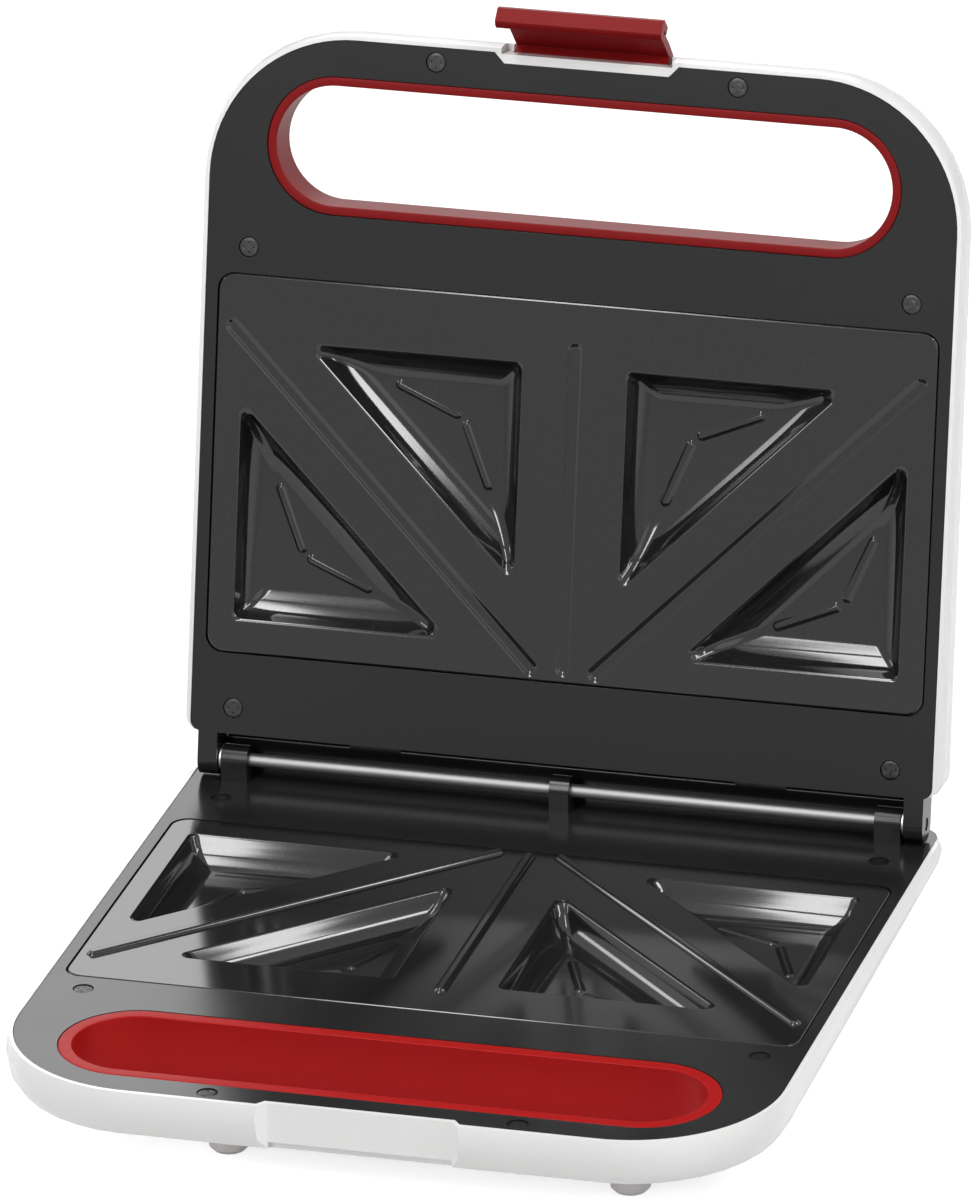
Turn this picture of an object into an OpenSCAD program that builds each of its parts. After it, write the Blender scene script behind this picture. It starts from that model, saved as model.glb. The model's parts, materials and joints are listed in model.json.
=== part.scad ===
// Sandwich toaster: a base and a lid joined by a rear hinge rod, each half a white
// moulded shell closed by a black frame that holds a cast plate with four pockets.
// Each half is drawn with its parting face at z = 0 and its depth along +z, X across,
// and -Y towards the front, with the hinge axis at y = 0. seat_base() turns a half
// over to make the base; seat_lid() swings it open about the hinge.

/* [Frames] */
// Width of the black frames
frame_w = 230; // [222:1:246]
// Depth of the frames, from the hinge axis to the front edge
frame_d = 222.5; // [218:0.5:236]
// Radius of the two front corners
corner_r = 44; // [38:1:48]
// Thickness of the frame's deck
deck_t = 2.6; // [2:0.1:3]
// Distance of the lid's rear edge in front of the hinge axis
lid_rear = 8.5; // [8:0.5:10]
// Distance of the base's rear edge behind the hinge axis
base_rear = 10.5; // [10:0.5:14]
// Gap between the two frames when the lid is closed
parting_gap = 0.6; // [0.4:0.1:1.2]

/* [Shells] */
// Wall of the moulded shells
shell_t = 2.4; // [1.8:0.1:2.8]
// Width of the shell's lip round the frame
lip_w = 1.5; // [1:0.1:2]
// Height of the handle band, from the parting plane to its outer face
handle_t = 15.6; // [14.5:0.1:17]
// Depth of the base shell below the parting plane
base_depth = 42.5; // [40:0.5:50]
// Height of the lid shell above the parting plane
lid_height = 41.5; // [39:0.5:50]
// Bulge of the side band beyond the lip
band_bulge = 0.7; // [0.3:0.1:1.5]

/* [Hinge] */
// Angle between the two parting faces when the lid is open
open_angle = 102.2; // [92:0.1:104]
// Height of the hinge axis above the parting plane
axis_h = 5.6; // [5.2:0.1:6.5]
// Diameter of the hinge rod
rod_d = 4; // [3:0.1:4.4]
// Radial running clearance on the rod
rod_fit = 0.05; // [0.02:0.01:0.1]
// Thickness of each hinge ear on the lid
ear_t = 6; // [5:0.5:7]
// Width of each outer knuckle on the base
knuckle_w = 8; // [6:0.5:10]
// Width of the lug that carries the middle of the rod
lug_w = 6; // [4:0.5:8]
// Thickness of the steel washers between knuckle and ear
washer_t = 0.8; // [0.5:0.1:1]

/* [Plates] */
// Distance from the frame's side to the side edge of its plate
plate_margin = 4; // [3.6:0.1:8]
// Rear edge of the plates, from the hinge axis
plate_rear = 33.6; // [31:0.1:35]
// Thickness of the plate
plate_t = 3; // [2.5:0.1:3.4]
// Depth of the sandwich pockets
pocket_depth = 10; // [8:0.5:11]
// Distance between the long sides of two neighbouring pockets
pocket_gap = 27.86; // [24:0.01:34]
// Draft of the pocket walls, measured across at the floor
pocket_draft = 8.1; // [6:0.1:9]
// Wall of the cast cups behind the pockets
cup_wall = 2.4; // [2:0.1:2.6]
// Height of the sealing ridges on the lower plate
ridge_h = 1.2; // [0.8:0.1:1.6]
// Width of the sealing ridges at their foot
ridge_w = 4.4; // [3:0.1:6]

/* [Handle slots] */
// Width of the frame in front of the handle slot
front_rim = 14.1; // [12:0.1:15]
// Width of the handle slot, from front to rear
slot_w = 36.4; // [34:0.1:40]
// Distance from the frame's side to the end of the handle slot
side_rim = 20.2; // [18:0.1:30]
// Width of the frame between the handle slot and the plate
bridge_w = 22.8; // [21:0.1:26]
// Width of the flange of the base's liner
base_flange_w = 4.2; // [2:0.1:5]
// Width of the flange of the lid's liner
lid_flange_w = 2.7; // [2:0.1:4]
// Thickness of the liners' flanges
flange_t = 1.3; // [1:0.1:1.5]
// Wall of the liners' sleeves
sleeve_t = 1.6; // [1.2:0.1:1.8]

/* [Latch] */
// Width of the latch at its hook
latch_w = 51; // [40:1:54]
// Step from the hook's ends in to the sides of the arm
latch_shoulder = 2; // [0.5:0.1:4]
// Angle of the latch from its hooked position, as it rests
latch_rest = 35; // [5:1:45]
// Thickness of the latch's arm
latch_t = 2.6; // [2:0.1:3]
// Depth of the recess for the latch in the front of the base
recess_d = 2.4; // [1:0.1:2.6]
// Depth of the catch lip below the parting plane
catch_z = 12.3; // [10.5:0.1:12.5]
// Diameter of the latch pin
latch_pin_d = 2.4; // [2:0.1:2.6]

/* [Feet and screws] */
// Height of the rubber feet below the shell
foot_h = 8; // [5:0.5:12]
// Radius of the rubber feet
foot_r = 6.5; // [6:0.5:10]
// Distance of the feet from the centre line
foot_x = 61; // [50:1:66]
// Length of the frame screws, from the seat of the head
screw_l = 11; // [9:0.5:12]
// Shank diameter of the screws
screw_d = 2.8; // [2.4:0.1:3]
// Head diameter of the screws
screw_head_d = 5.6; // [5:0.1:6]

/* [Electrics] */
// Diameter of the tubular heating elements
heater_d = 6.4; // [5.5:0.1:7]
// Bore of the cord gland
gland_bore = 6.6; // [5:0.1:8]
// Diameter of the lamp lenses in the lid
lens_d = 7; // [5:0.5:9]

/* [Hidden] */

$fn = 72;
half_w = frame_w / 2;
plate_w = frame_w - 2 * plate_margin;
slot_front = frame_d - front_rim;
slot_rear = slot_front - slot_w;
slot_half = half_w - side_rim;
plate_front = slot_rear - bridge_w;
plate_mid = (plate_front + plate_rear) / 2;
face_z = parting_gap / 2;          // parting face of each frame
deck_z = face_z + deck_t;          // inner side of the deck
fit = 0.2;                         // gap between parts that sit in one another
eps = 0.01;
over = 1;                          // how far a cutter runs past what it cuts

// Outer size of the shells at the lip
shell_w = half_w + lip_w;
shell_f = frame_d + lip_w;

// ---------------------------------------------------------------- plan outlines

// Rounded outline from front to rear (both as distances in front of the axis)
module plan(w, front, rear, rf, rr) {
    translate([-w, -(front - rf)]) square([2 * w, front - rf - rear - rr]);
    translate([-(w - rf), -front]) square([2 * (w - rf), front - rear - rr]);
    translate([-(w - rr), -(front - rf)]) square([2 * (w - rr), front - rf - rear]);
    for (s = [-1, 1]) {
        translate([s * (w - rf), -(front - rf)]) circle(r = rf);
        translate([s * (w - rr), -(rear + rr)]) circle(r = rr);
    }
}

// Handle slot outline, grown outwards
module slot_plan(grow) {
    r = (slot_front - slot_rear) / 2 + grow;
    mid = (slot_front + slot_rear) / 2;
    c = slot_half + grow - r;
    translate([-c, -mid - r]) square([2 * c, 2 * r]);
    for (s = [-1, 1]) translate([s * c, -mid]) circle(r = r);
}

module slab(z0, z1) translate([0, 0, z0]) linear_extrude(z1 - z0) children();

// Points of a rounded outline, anticlockwise from the front right corner
function outline(w, front, rear, rf, rr, n) = concat(
    [for (i = [0:n]) [w - rf + rf * sin(90 * i / n), -(front - rf + rf * cos(90 * i / n))]],
    [for (i = [0:n]) [w - rr + rr * cos(90 * i / n), -rear - rr + rr * sin(90 * i / n)]],
    [for (i = [0:n]) [-(w - rr + rr * sin(90 * i / n)), -rear - rr + rr * cos(90 * i / n)]],
    [for (i = [0:n]) [-(w - rf + rf * cos(90 * i / n)), -(front - rf + rf * sin(90 * i / n))]]);

// Faces of a loft through rings of m points each, from the lowest ring to the highest
function loft_faces(rings, m) = concat(
    [for (j = [0:rings - 2]) for (i = [0:m - 1])
        each [[j * m + i, (j + 1) * m + (i + 1) % m, j * m + (i + 1) % m],
              [j * m + i, (j + 1) * m + i, (j + 1) * m + (i + 1) % m]]],
    [[for (i = [0:m - 1]) i]],
    [[for (i = [m - 1:-1:0]) (rings - 1) * m + i]]);

// ---------------------------------------------------------------- shells

corner_steps = 9;

// A ring is [half width, front, rear, front radius, rear radius, z at front, z at rear].
// Its height runs evenly from front to rear, so that each ring is flat.
function ring_points(g) =
    [for (p = outline(g[0], g[1], g[2], g[3], g[4], corner_steps))
        [p[0], p[1], g[6] + (g[5] - g[6]) * (-p[1] - g[2]) / (g[1] - g[2])]];

body_v = slot_rear - 2.5;          // where the handle's underside meets the body
handle_drop = 4.4;                 // fall of the base handle's underside up to there

base_rings = [
    [shell_w, shell_f, -base_rear - lip_w, corner_r + lip_w, 14, 0, 0],
    [shell_w + band_bulge, shell_f + band_bulge, -base_rear - lip_w - band_bulge,
        corner_r + lip_w, 14, handle_t * 0.27, 3],
    [shell_w + 0.1, shell_f, -base_rear - lip_w, corner_r + lip_w, 14, handle_t * 0.7, 5.5],
    [shell_w - 2, shell_f - 2.4, -base_rear + 0.5, corner_r - 1, 13, handle_t - 1.2, 8.5],
    [shell_w - 5.5, shell_f - 6, -base_rear + 3, corner_r - 4, 12, handle_t, 10.5],
    [shell_w - 16.5, body_v, -base_rear + 6, 28, 12, handle_t + handle_drop, 16],
    [shell_w - 20, body_v - 7, -base_rear + 6.4, 26, 12, handle_t + 9.6, 31],
    [shell_w - 25, body_v - 10.5, -base_rear + 8.5, 24, 12, base_depth - 3, base_depth - 3],
    [shell_w - 28.5, body_v - 14, -base_rear + 12, 22, 12, base_depth, base_depth]];

lid_rings = [
    [shell_w, shell_f, lid_rear, corner_r + lip_w, 5, 0, 0],
    [shell_w + band_bulge, shell_f + band_bulge, lid_rear, corner_r + lip_w, 5,
        handle_t * 0.27, 5],
    [shell_w + 0.1, shell_f, lid_rear, corner_r + lip_w, 6, handle_t * 0.67, 16],
    [shell_w - 2, shell_f - 2.4, lid_rear + 1.2, corner_r - 1, 8, handle_t - 1.6, 21],
    [shell_w - 6.5, shell_f - 8, lid_rear + 3.6, corner_r - 6, 10, handle_t, 25],
    [shell_w - 15.5, body_v - 0.5, lid_rear + 7.5, 30, 12, handle_t + 1.6, 31],
    [shell_w - 21.5, body_v - 11.5, lid_rear + 12.5, 28, 14, 25.5, lid_height - 5.5],
    [shell_w - 30.5, body_v - 23.5, lid_rear + 19.5, 26, 16, lid_height - 7.5, lid_height - 2],
    [shell_w - 42.5, body_v - 37.5, lid_rear + 29.5, 24, 16, lid_height - 2.2, lid_height - 0.5],
    [shell_w - 56.5, body_v - 53.5, lid_rear + 43.5, 20, 16, lid_height, lid_height]];

// Frame position: the part's box is centred on the origin and stands on z = 0
parting_z = base_depth + foot_h;
function swung_y(v, z) = -v * cos(open_angle) + (z - axis_h) * sin(open_angle);
lid_back_y = max([for (ring = lid_rings) swung_y(ring[1], ring[5])]);
base_front_y = -(shell_f + band_bulge);
shift_y = -(lid_back_y + base_front_y) / 2;

module seat_base() translate([0, shift_y, parting_z]) mirror([0, 0, 1]) children();
module seat_lid()
    translate([0, shift_y, parting_z + axis_h]) rotate([-open_angle, 0, 0])
        translate([0, 0, -axis_h]) children();

module shell_solid(rings) {
    points = [for (g = rings) each ring_points(g)];
    polyhedron(points, loft_faces(len(rings), 4 * (corner_steps + 1)), convexity = 8);
}

// Share of the wall that goes inwards and share that goes down, for one run of a profile
function wall_share(run, rise) = [rise, run] / norm([rise, run]);

// The same ring, moved in by one wall thickness along the profile's normal
function inner_ring(rings, k) =
    let(g = rings[k], a = rings[k - 1], b = rings[min(k + 1, len(rings) - 1)],
        side = wall_share(a[0] - b[0], (b[5] + b[6] - a[5] - a[6]) / 2),
        front = wall_share(a[1] - b[1], b[5] - a[5]),
        rear = wall_share(b[2] - a[2], b[6] - a[6]))
    [g[0] - shell_t * side[0], g[1] - shell_t * front[0], g[2] + shell_t * rear[0],
        max(g[3] - shell_t, 4), max(g[4] - shell_t, 4),
        g[5] - shell_t * front[1], g[6] - shell_t * rear[1]];

module cavity_solid(rings) {
    mouth = rings[0];
    top = [mouth[0] - shell_t, mouth[1] - shell_t, mouth[2] + shell_t,
        mouth[3] - shell_t, mouth[4] - shell_t, -over, -over];
    inner = concat([top], [for (k = [1:len(rings) - 1]) inner_ring(rings, k)]);
    points = [for (g = inner) each ring_points(g)];
    polyhedron(points, loft_faces(len(inner), 4 * (corner_steps + 1)), convexity = 8);
}

// Places of the six screws that hold a frame to its shell: [x, distance from the axis]
function screw_places(rear) = [for (s = [-1, 1]) each
    [[s * (half_w - 12.8), plate_front + 8.3], [s * 46.4, frame_d - 4.5],
        [s * (half_w - 13), rear]]];
base_screw_places = screw_places(16.5);
lid_screw_places = screw_places(lid_rear + 8);
boss_r = 3.4;
boss_z = deck_z + 3;               // depth of the screw bosses below the deck

module at_places(places) for (p = places) translate([p[0], -p[1], 0]) children();

module shell(rings, places, behind, rear_r, notch, block_d) {
    difference() {
        shell_solid(rings);
        difference() {
            cavity_solid(rings);
            at_places(places) slab(boss_z + fit, lid_height + base_depth)
                circle(r = boss_r);
            front_block(block_d);
        }
        slab(-over, deck_z) deck_plan(behind, rear_r, notch, fit);
        slab(-over, lid_height) slot_plan(sleeve_t + fit);
        at_places(places) translate([0, 0, boss_z - over])
            cylinder(d = screw_d + 0.1, h = 8 + over);
    }
}

// ---------------------------------------------------------------- frames

// Deck outline, with a notch in its front edge for the latch
module deck_plan(behind, rear_r, notch, grow) {
    difference() {
        plan(half_w + grow, frame_d + grow, -behind - grow, corner_r + grow, rear_r + grow);
        notch_plan(notch, grow);
    }
}

// Notches: [half width at the bottom, depth, run of each slanted end]
lid_notch = [latch_w / 2, 3.2, 3];
base_notch = [latch_w / 2 + 3.1, recess_d + 0.1, 2];
base_rear_r = 8;
lid_rear_r = 3.5;

module notch_plan(notch, grow) {
    inner_x = notch[0] - grow;
    outer_x = notch[0] + notch[2] - grow;
    front_y = -frame_d - grow;
    inner_y = front_y + notch[1];
    polygon([[-outer_x, front_y - over], [-outer_x, front_y], [-inner_x, inner_y],
        [inner_x, inner_y], [outer_x, front_y], [outer_x, front_y - over]]);
}

plate_fit = 0.4;                   // gap round each plate
seat_w = 3;                        // width of the ledge under a plate's edge
seat_z = face_z + plate_t;         // top of the ledge
seat_t = 2;
well_w = 2.4;                      // wall of the plate well

module plate_plan(grow)
    plan(plate_w / 2 + grow, plate_front + grow, plate_rear - grow, 5 + grow, 5 + grow);

module half_frame(behind, rear_r, notch, places, flange_w) {
    difference() {
        union() {
            slab(face_z, deck_z) deck_plan(behind, rear_r, notch, 0);
            slab(face_z, seat_z + seat_t) plate_plan(plate_fit + well_w);
            at_places(places) slab(face_z, boss_z) circle(r = boss_r);
        }
        slab(face_z - over, seat_z) plate_plan(plate_fit);
        slab(face_z - over, seat_z + seat_t + over) plate_plan(plate_fit - seat_w);
        slab(face_z - over, face_z + flange_t) slot_plan(flange_w + fit);
        slab(face_z - over, deck_z + over) slot_plan(sleeve_t + fit);
        at_places(places) {
            slab(face_z - over, face_z + 2) circle(d = screw_head_d + 0.6);
            slab(face_z - over, boss_z + over) circle(d = screw_d + 0.4);
        }
    }
}

// ---------------------------------------------------------------- hinge

ear_out = half_w - 2.4;            // outer side of the lid's ears
ear_in = ear_out - ear_t;
washer_gap = 0.15;
knuckle_out = ear_in - washer_t - 2 * washer_gap;
knuckle_in = knuckle_out - knuckle_w;
rod_r = rod_d / 2;
ear_r = axis_h - face_z;           // clears the base's deck by the parting gap and more
knuckle_r = rod_r + 2.4;

module along_x(x0, x1)
    translate([x0, 0, 0]) rotate([90, 0, 90]) linear_extrude(x1 - x0) children();

// Base knuckle, drawn in the half's own frame, where the axis lies above the face
module knuckle(x0, x1) {
    difference() {
        union() {
            along_x(x0, x1) translate([0, -axis_h]) circle(r = knuckle_r);
            along_x(x0, x1) translate([-knuckle_r, -axis_h])
                square([2 * knuckle_r, axis_h + face_z + deck_t / 2]);
        }
        along_x(x0 - over, x1 + over) translate([0, -axis_h]) circle(r = rod_r + rod_fit);
    }
}

// The base's hinge wall stands behind the rod; its two stops meet the open lid's rear wall
wall_y0 = knuckle_r + 1.7;
wall_y1 = base_rear - 0.6;
wall_h = 10.4;
wall_half = ear_in - 0.5;
wall_end = ear_in + 3;             // behind the ears the wall is thinner
wall_step = 1.2;
stop_half = 8;
stop_x = 60;
function lid_wall_z(y) = axis_h + (lid_rear + y * cos(open_angle)) / sin(open_angle);
stop_gap = 0.3;

module hinge_wall() {
    along_x(-wall_end, wall_end) translate([wall_y0 + wall_step, -wall_h + 1])
        square([wall_y1 - wall_y0 - wall_step, wall_h - 1 + deck_z]);
    along_x(-wall_half, wall_half) {
        translate([wall_y0, -wall_h + 1]) square([wall_y1 - wall_y0, wall_h - 1 + deck_z]);
        translate([wall_y0 + 1, -wall_h]) square([wall_y1 - wall_y0 - 2, wall_h]);
        for (y = [wall_y0 + 1, wall_y1 - 1]) translate([y, -wall_h + 1]) circle(r = 1, $fn = 24);
    }
    for (s = [-1, 1]) along_x(s * stop_x - stop_half, s * stop_x + stop_half)
        polygon([[wall_y0, 0], [wall_y1, 0], [wall_y1, stop_gap - lid_wall_z(wall_y1)],
            [wall_y0, stop_gap - lid_wall_z(wall_y0)]]);
}

module base_frame() color([0.16, 0.16, 0.17]) seat_base() {
    half_frame(base_rear, base_rear_r, base_notch, base_screw_places, base_flange_w);
    knuckle(-lug_w / 2, lug_w / 2);
    knuckle(knuckle_in, knuckle_out);
    knuckle(-knuckle_out, -knuckle_in);
    hinge_wall();
}

lid_wall_h = 14;                   // height of the black wall along the lid's rear edge
lid_wall_t = 2;

module rear_wall(grow)
    translate([-ear_out - grow, -lid_rear - lid_wall_t - grow, face_z - 2 * grow])
        cube([2 * (ear_out + grow), lid_wall_t + 2 * grow, lid_wall_h - face_z + 3 * grow]);

module ear(x0) {
    difference() {
        union() {
            along_x(x0, x0 + ear_t) translate([0, axis_h]) circle(r = ear_r);
            along_x(x0, x0 + ear_t) translate([-lid_rear - eps, face_z])
                square([lid_rear + eps, 2 * ear_r]);
        }
        along_x(x0 - over, x0 + ear_t + over) translate([0, axis_h]) circle(r = rod_r + rod_fit);
    }
}

module lid_frame() color([0.16, 0.16, 0.17]) seat_lid() {
    half_frame(-lid_rear, lid_rear_r, lid_notch, lid_screw_places, lid_flange_w);
    rear_wall(0);
    ear(ear_in);
    ear(-ear_out);
}

module hinge_rod() color([0.72, 0.72, 0.74]) seat_base()
    along_x(-ear_out + 0.5, ear_out - 0.5) translate([0, -axis_h]) circle(r = rod_r);

module hinge_washers() color([0.6, 0.6, 0.62]) seat_base()
    for (x0 = [knuckle_out + washer_gap, -knuckle_out - washer_gap - washer_t])
        along_x(x0, x0 + washer_t) translate([0, -axis_h]) difference() {
            circle(r = rod_r + 2);
            circle(r = rod_r + rod_fit);
        }

// ---------------------------------------------------------------- shells and liners

block_half = latch_w / 2 + 5.5;
latch_boss_d = 10.4;
catch_block_d = 8.2;
recess_half = latch_w / 2 + 2;
hook_bite = 2.4;                   // how far the hook reaches under the catch lip

vent_count = 7;
vent_pitch = 14;
vent_l = 40;
vent_w = 3;

module base_shell() color([0.93, 0.93, 0.93]) seat_base() difference() {
    shell(base_rings, base_screw_places, base_rear, base_rear_r, base_notch, catch_block_d);
    // shallow recess for the latch, with slanted ends
    slab(-over, 2 * handle_t) polygon([[-recess_half - recess_d - over, -shell_f - over],
        [-recess_half, -shell_f + recess_d], [recess_half, -shell_f + recess_d],
        [recess_half + recess_d + over, -shell_f - over]]);
    // deeper recess for the hook, open below the catch lip
    translate([-recess_half, -shell_f, catch_z])
        cube([2 * recess_half, recess_d + hook_bite + 0.8, handle_t]);
    translate([gland_x, base_rear + over, gland_z]) rotate([90, 0, 0])
        cylinder(d = gland_d + 2 * fit, h = 14);
    for (i = [0:vent_count - 1])
        translate([(i - (vent_count - 1) / 2) * vent_pitch, -plate_mid, base_depth - 4])
            slab(0, 6) rounded_slot(vent_l, vent_w);
    for (p = foot_places) translate([p[0], -p[1], base_depth - 5])
        cylinder(r = foot_stem_r + fit, h = 7);
}

// A rounded slot along Y
module rounded_slot(l, w) {
    square([w, l - w], center = true);
    for (s = [-1, 1]) translate([0, s * (l - w) / 2]) circle(d = w, $fn = 24);
}

module lid_shell() color([0.93, 0.93, 0.93]) seat_lid() difference() {
    shell(lid_rings, lid_screw_places, -lid_rear, lid_rear_r, lid_notch, latch_boss_d);
    rear_wall(fit);
    latch_pocket();
    along_x(-pin_half - fit, pin_half + fit)
        translate([-latch_v, latch_z]) circle(d = latch_pin_d + 0.1);
    for (x = lens_places) translate([x, -lens_v, lid_height - 8])
        cylinder(d = lens_d + 2 * fit, h = 12);
}

sleeve_proud = 0.6;
under_slope = atan2(handle_drop, shell_f - 6 - body_v);

module base_handle_liner() color([0.72, 0.1, 0.12]) seat_base() difference() {
    union() {
        slab(face_z, face_z + flange_t - eps) slot_plan(base_flange_w);
        slab(face_z, handle_t + 10) slot_plan(sleeve_t);
    }
    slab(face_z - over, handle_t + 12) slot_plan(0);
    // the sleeve ends along the handle's sloping underside and stands a little proud of it
    translate([-half_w, -(shell_f - 6), handle_t + sleeve_proud]) rotate([under_slope, 0, 0])
        cube([2 * half_w, 90, 30]);
}

module lid_handle_liner() color([0.72, 0.1, 0.12]) seat_lid() difference() {
    union() {
        slab(face_z, face_z + flange_t - eps) slot_plan(lid_flange_w);
        slab(face_z, handle_t - 0.8) slot_plan(sleeve_t);
    }
    slab(face_z - over, handle_t + 12) slot_plan(0);
}

// ---------------------------------------------------------------- plates

// Each pocket is a right-angled triangle: [corner, end of one leg, end of the other leg]
pocket_side = 8;                   // from the plate's side edge to the outer pockets
pocket_back = 10.4;                // from its rear edge to the outer pockets
pocket_mid = 16.3;                 // from the centre line to the inner pockets
pocket_fore = 19.9;                // from its front edge to the inner pockets
outer_x = plate_w / 2 - pocket_side;
outer_v = plate_rear + pocket_back;
inner_v = plate_front - pocket_fore;
// Two short sides of a pocket, which leave the gap between the long sides of neighbours
pocket_leg = (outer_x - outer_v - pocket_mid + inner_v - pocket_gap * sqrt(2)) / 2;
function pocket_corners(s) = [
    [[s * outer_x, -outer_v], [s * outer_x, -outer_v - pocket_leg],
        [s * (outer_x - pocket_leg), -outer_v]],
    [[s * pocket_mid, -inner_v], [s * pocket_mid, -inner_v + pocket_leg],
        [s * (pocket_mid + pocket_leg), -inner_v]]];
pockets = concat(pocket_corners(1), pocket_corners(-1));

function unit(v) = v / norm(v);
function area2(t) = (t[1][0] - t[0][0]) * (t[2][1] - t[0][1])
    - (t[1][1] - t[0][1]) * (t[2][0] - t[0][0]);
function turned(t) = area2(t) > 0 ? t : [t[0], t[2], t[1]];

// Triangle with every side moved in by d and its corners rounded to r
function soft_triangle(t, d, r, n) = [for (k = [0:2])
    let(p = t[k], a = unit(t[(k + 2) % 3] - p), b = unit(t[(k + 1) % 3] - p),
        half = acos(a * b) / 2, c = p + unit(a + b) * (d + r) / sin(half),
        first = atan2(a[0], -a[1]), turn = 180 - 2 * half)
    for (i = [0:n]) let(w = first + turn * i / n) c + r * [cos(w), sin(w)]];

corner_n = 4;

// Loft through rounded triangles: steps are [inset, corner radius, z]
module tri_loft(t, steps) {
    rings = [for (st = steps) [for (p = soft_triangle(turned(t), st[0], st[1], corner_n))
        [p[0], p[1], st[2]]]];
    points = [for (g = rings) each g];
    polyhedron(points, loft_faces(len(steps), 3 * (corner_n + 1)), convexity = 4);
}

floor_z = face_z + pocket_depth;

module pocket_cut(t)
    tri_loft(t, [[-0.9, 2.4, face_z - over], [-0.9, 2.4, face_z], [-0.3, 2.2, face_z + 0.25],
        [0.3, 2, face_z + 0.8], [pocket_draft - 0.6, 1.6, floor_z - 1.1],
        [pocket_draft + 0.2, 1.5, floor_z - 0.4], [pocket_draft + 1, 1.4, floor_z]]);

module pocket_cup(t)
    tri_loft(t, [[-cup_wall, 5, face_z + plate_t - 1], [-cup_wall, 5, face_z + plate_t],
        [pocket_draft - cup_wall, 4, floor_z + cup_wall - 0.6],
        [pocket_draft - cup_wall + 0.6, 4, floor_z + cup_wall]]);

// Raised rays on a pocket's floor, one running in from each of its two acute corners
ray_h = 0.8;
ray_w = 1;
ray_l = pocket_leg * 0.34;
ray_start = (pocket_draft + 2.4) / sin(22.5);

module floor_rays(t) for (k = [1, 2]) {
    dir = unit(unit(t[0] - t[k]) + unit(t[3 - k] - t[k]));
    start = t[k] + dir * ray_start;
    translate([start[0], start[1], floor_z - ray_h]) rotate([0, 0, atan2(dir[1], dir[0])])
        translate([0, -ray_w / 2, 0]) cube([ray_l, ray_w, ray_h + 0.4]);
}

ridge_start = plate_rear + 1.6;
ridge_mid_c = (outer_v - outer_x + pocket_leg + inner_v - pocket_leg - pocket_mid) / 2;

// Runs of the sealing ridges: one down the middle and one between each pair of pockets
module ridges(w, h, extra) {
    top = w * 0.4;
    translate([0, -ridge_start + extra, 0]) ridge(inner_v + 8 - ridge_start + 2 * extra, w, top, h);
    for (s = [-1, 1]) {
        x0 = ridge_start - ridge_mid_c;
        run = (plate_w / 2 - 2.5 - x0) * sqrt(2);
        translate([s * (x0 - extra * 0.7), -ridge_start + extra * 0.7, 0]) rotate([0, 0, s * 45])
            ridge(run + 2 * extra, w, top, h);
    }
}

module ridge(l, w, top, h)
    rotate([90, 0, 0]) linear_extrude(l)
        polygon([[-w / 2, 0], [w / 2, 0], [top / 2, h], [-top / 2, h]]);

heater_z = floor_z + cup_wall + heater_d / 2;
strap_x = 34;
heater_v = [plate_rear + 29, plate_front - 37];
strap_t = 0.8;
strap_w = 9;
strap_screw_v = (heater_v[0] + heater_v[1]) / 2;

module plate_body() {
    difference() {
        union() {
            slab(face_z, seat_z - eps) plate_plan(0);
            for (t = pockets) pocket_cup(t);
            // posts for the straps that hold the heating element
            for (s = [-1, 1]) translate([s * strap_x, -strap_screw_v, face_z + 1])
                cylinder(r = 4, h = heater_z + heater_d / 2 - face_z - 1 - eps);
        }
        for (t = pockets) pocket_cut(t);
        for (s = [-1, 1]) translate([s * strap_x, -strap_screw_v, heater_z - 4])
            cylinder(d = screw_d + 0.1, h = 12);
    }
    for (t = pockets) floor_rays(t);
}

module lower_plate() color([0.2, 0.2, 0.21]) seat_base() union() {
    plate_body();
    translate([0, 0, face_z + eps]) mirror([0, 0, 1]) ridges(ridge_w, ridge_h, 0);
}

module upper_plate() color([0.2, 0.2, 0.21]) seat_lid() difference() {
    plate_body();
    translate([0, 0, face_z - eps]) ridges(ridge_w + 1, ridge_h + 0.4, 0.8);
}

// ---------------------------------------------------------------- heating elements

heater_turn = (heater_v[1] - heater_v[0]) / 2;
heater_leg = outer_x - 18 - heater_turn;

// A U of steel tube: two legs along X and a half turn at the left, ends turned to the right
module heater_tube() {
    for (v = heater_v) along_x(-heater_leg, heater_leg + 16)
        translate([-v, heater_z]) circle(d = heater_d);
    translate([-heater_leg, -(heater_v[0] + heater_v[1]) / 2, heater_z]) rotate([0, 0, 90])
        rotate_extrude(angle = 180) translate([heater_turn, 0]) circle(d = heater_d);
    for (v = heater_v) along_x(heater_leg + 16, heater_leg + 24)
        translate([-v, heater_z]) circle(d = 3);
}

module heater_straps() {
    for (s = [-1, 1]) difference() {
        translate([s * strap_x - strap_w / 2, -heater_v[1] - 5, heater_z + heater_d / 2])
            cube([strap_w, heater_v[1] - heater_v[0] + 10, strap_t]);
        translate([s * strap_x, -strap_screw_v, heater_z]) cylinder(d = screw_d + 0.4, h = 20);
    }
}

module lower_heater() color([0.35, 0.33, 0.32]) seat_base() heater_tube();
module upper_heater() color([0.35, 0.33, 0.32]) seat_lid() heater_tube();
module lower_heater_straps() color([0.75, 0.75, 0.76]) seat_base() heater_straps();
module upper_heater_straps() color([0.75, 0.75, 0.76]) seat_lid() heater_straps();

// Sheet-steel pan behind each heating element, held by the same screws as the straps
pan_inset = 20;                    // from the plate's side edge to the pan
pan_w = plate_w / 2 - pan_inset;
pan_front = plate_front - 1;
pan_rear = plate_rear + 1;
pan_r = 12;
pan_t = 0.8;
pan_rim_z = floor_z + cup_wall + 1;
pan_z = heater_z + heater_d / 2 + strap_t + pan_t;

module pan_plan(grow)
    plan(pan_w + grow, pan_front + grow, pan_rear - grow, pan_r + grow, pan_r + grow);

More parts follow.
